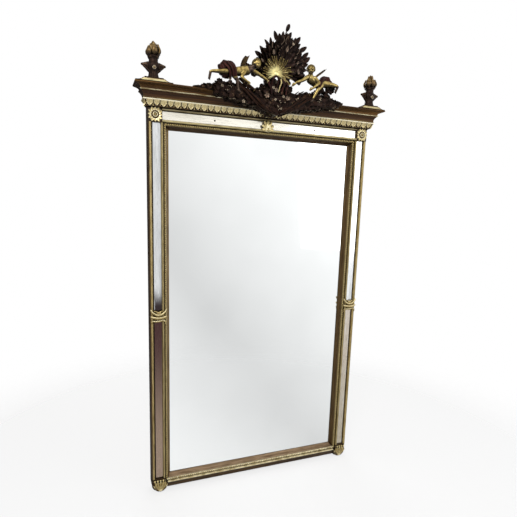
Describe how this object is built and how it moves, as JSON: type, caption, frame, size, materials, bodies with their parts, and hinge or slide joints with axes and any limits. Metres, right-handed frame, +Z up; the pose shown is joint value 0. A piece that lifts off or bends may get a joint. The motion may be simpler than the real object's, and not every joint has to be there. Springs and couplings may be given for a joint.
{
  "type": "pier mirror",
  "caption": "Tall pier mirror with mirror-bordered gilt frame, beaded sight edge, corner rosettes, cornice, urn finials and a carved cresting with cherubs and shell; hangs by two rings.",
  "frame": {"origin": "bottom centre: on the floor under the feet, in the middle of the width and depth", "axes": "+Z up, front towards -Y, +X to the right as seen from the front"},
  "size_m": [1.1686, 0.168, 2.0995],
  "materials": {
    "stained_softwood": "pine carcass stained dark brown, brushed finish",
    "bare_pine": "planed pine boards, unfinished and aged",
    "aged_gilding": "water gilding on wood, worn to a brown olive gold",
    "burnished_gilding": "burnished leaf gilding on wood, with dirt in the recesses",
    "bright_gilding": "bright burnished leaf gilding on wood",
    "umber_gilding": "gilding on wood toned with brown glaze, rubbed at the edges",
    "gilt_bronze": "carved wood, gilt and toned to look like gilt bronze, rubbed bright",
    "dark_bronze": "carved wood with a dark brown bronze patina",
    "red_drapery": "carved wood under a dark red-brown glaze over metal leaf",
    "silvered_plate": "silvered plate glass",
    "foxed_mirror": "old silvered glass with foxing",
    "brass": "drawn and stamped brass"
  },
  "bodies": {
    "root": {"backboard": "bare_pine", "bead_row_bottom": "burnished_gilding", "bead_row_left": "burnished_gilding", "bead_row_right": "burnished_gilding", "bead_row_top": "burnished_gilding", "centre_clasp": "bright_gilding", "corner_rosette_left": "burnished_gilding", "corner_rosette_right": "burnished_gilding", "cornice_cap": "stained_softwood", "crest_drapery_left": "red_drapery", "crest_drapery_right": "red_drapery", "crest_foliage": "dark_bronze", "crest_shell": "gilt_bronze", "crest_spray": "dark_bronze", "crest_torches": "dark_bronze", "crown_front": "umber_gilding", "crown_left": "umber_gilding", "crown_right": "umber_gilding", "finial_flame_left": "gilt_bronze", "finial_flame_right": "gilt_bronze", "finial_plinth_left": "umber_gilding", "finial_plinth_right": "umber_gilding", "finial_urn_left": "dark_bronze", "finial_urn_right": "dark_bronze", "foot_left": "burnished_gilding", "foot_right": "burnished_gilding", "frieze_fillet_lower": "burnished_gilding", "frieze_fillet_upper": "burnished_gilding", "frieze_mirror_left": "foxed_mirror", "frieze_mirror_right": "foxed_mirror", "frieze_pin_left": "dark_bronze", "frieze_pin_right": "dark_bronze", "hanger_plate_left": "brass", "hanger_plate_right": "brass", "inner_fillet_left": "burnished_gilding", "inner_fillet_right": "burnished_gilding", "leaf_moulding_front": "burnished_gilding", "leaf_moulding_left": "burnished_gilding", "leaf_moulding_right": "burnished_gilding", "mirror_plate": "silvered_plate", "outer_fillet_left": "bright_gilding", "outer_fillet_right": "bright_gilding", "putto_left": "gilt_bronze", "putto_right": "gilt_bronze", "rail_bottom": "umber_gilding", "rail_top": "stained_softwood", "ribbon_tie_left": "bright_gilding", "ribbon_tie_right": "bright_gilding", "sight_moulding_bottom": "aged_gilding", "sight_moulding_left": "aged_gilding", "sight_moulding_right": "aged_gilding", "sight_moulding_top": "aged_gilding", "stile_left": "stained_softwood", "stile_mirror_lower_left": "foxed_mirror", "stile_mirror_lower_right": "foxed_mirror", "stile_mirror_upper_left": "foxed_mirror", "stile_mirror_upper_right": "foxed_mirror", "stile_right": "stained_softwood"},
    "hanger_ring_left": {"hanger_ring_left": "brass"},
    "hanger_ring_right": {"hanger_ring_right": "brass"}
  },
  "joints": [
    {"name": "ring_swing_left", "type": "hinge", "parent": "root", "child": "hanger_ring_left", "pos_m": [-0.2, 0.07612, 1.7419], "axis": [1, 0, 0], "range_deg": [0, 175]},
    {"name": "ring_swing_right", "type": "hinge", "parent": "root", "child": "hanger_ring_right", "pos_m": [0.2, 0.07612, 1.7419], "axis": [1, 0, 0], "range_deg": [0, 175]}
  ]
}
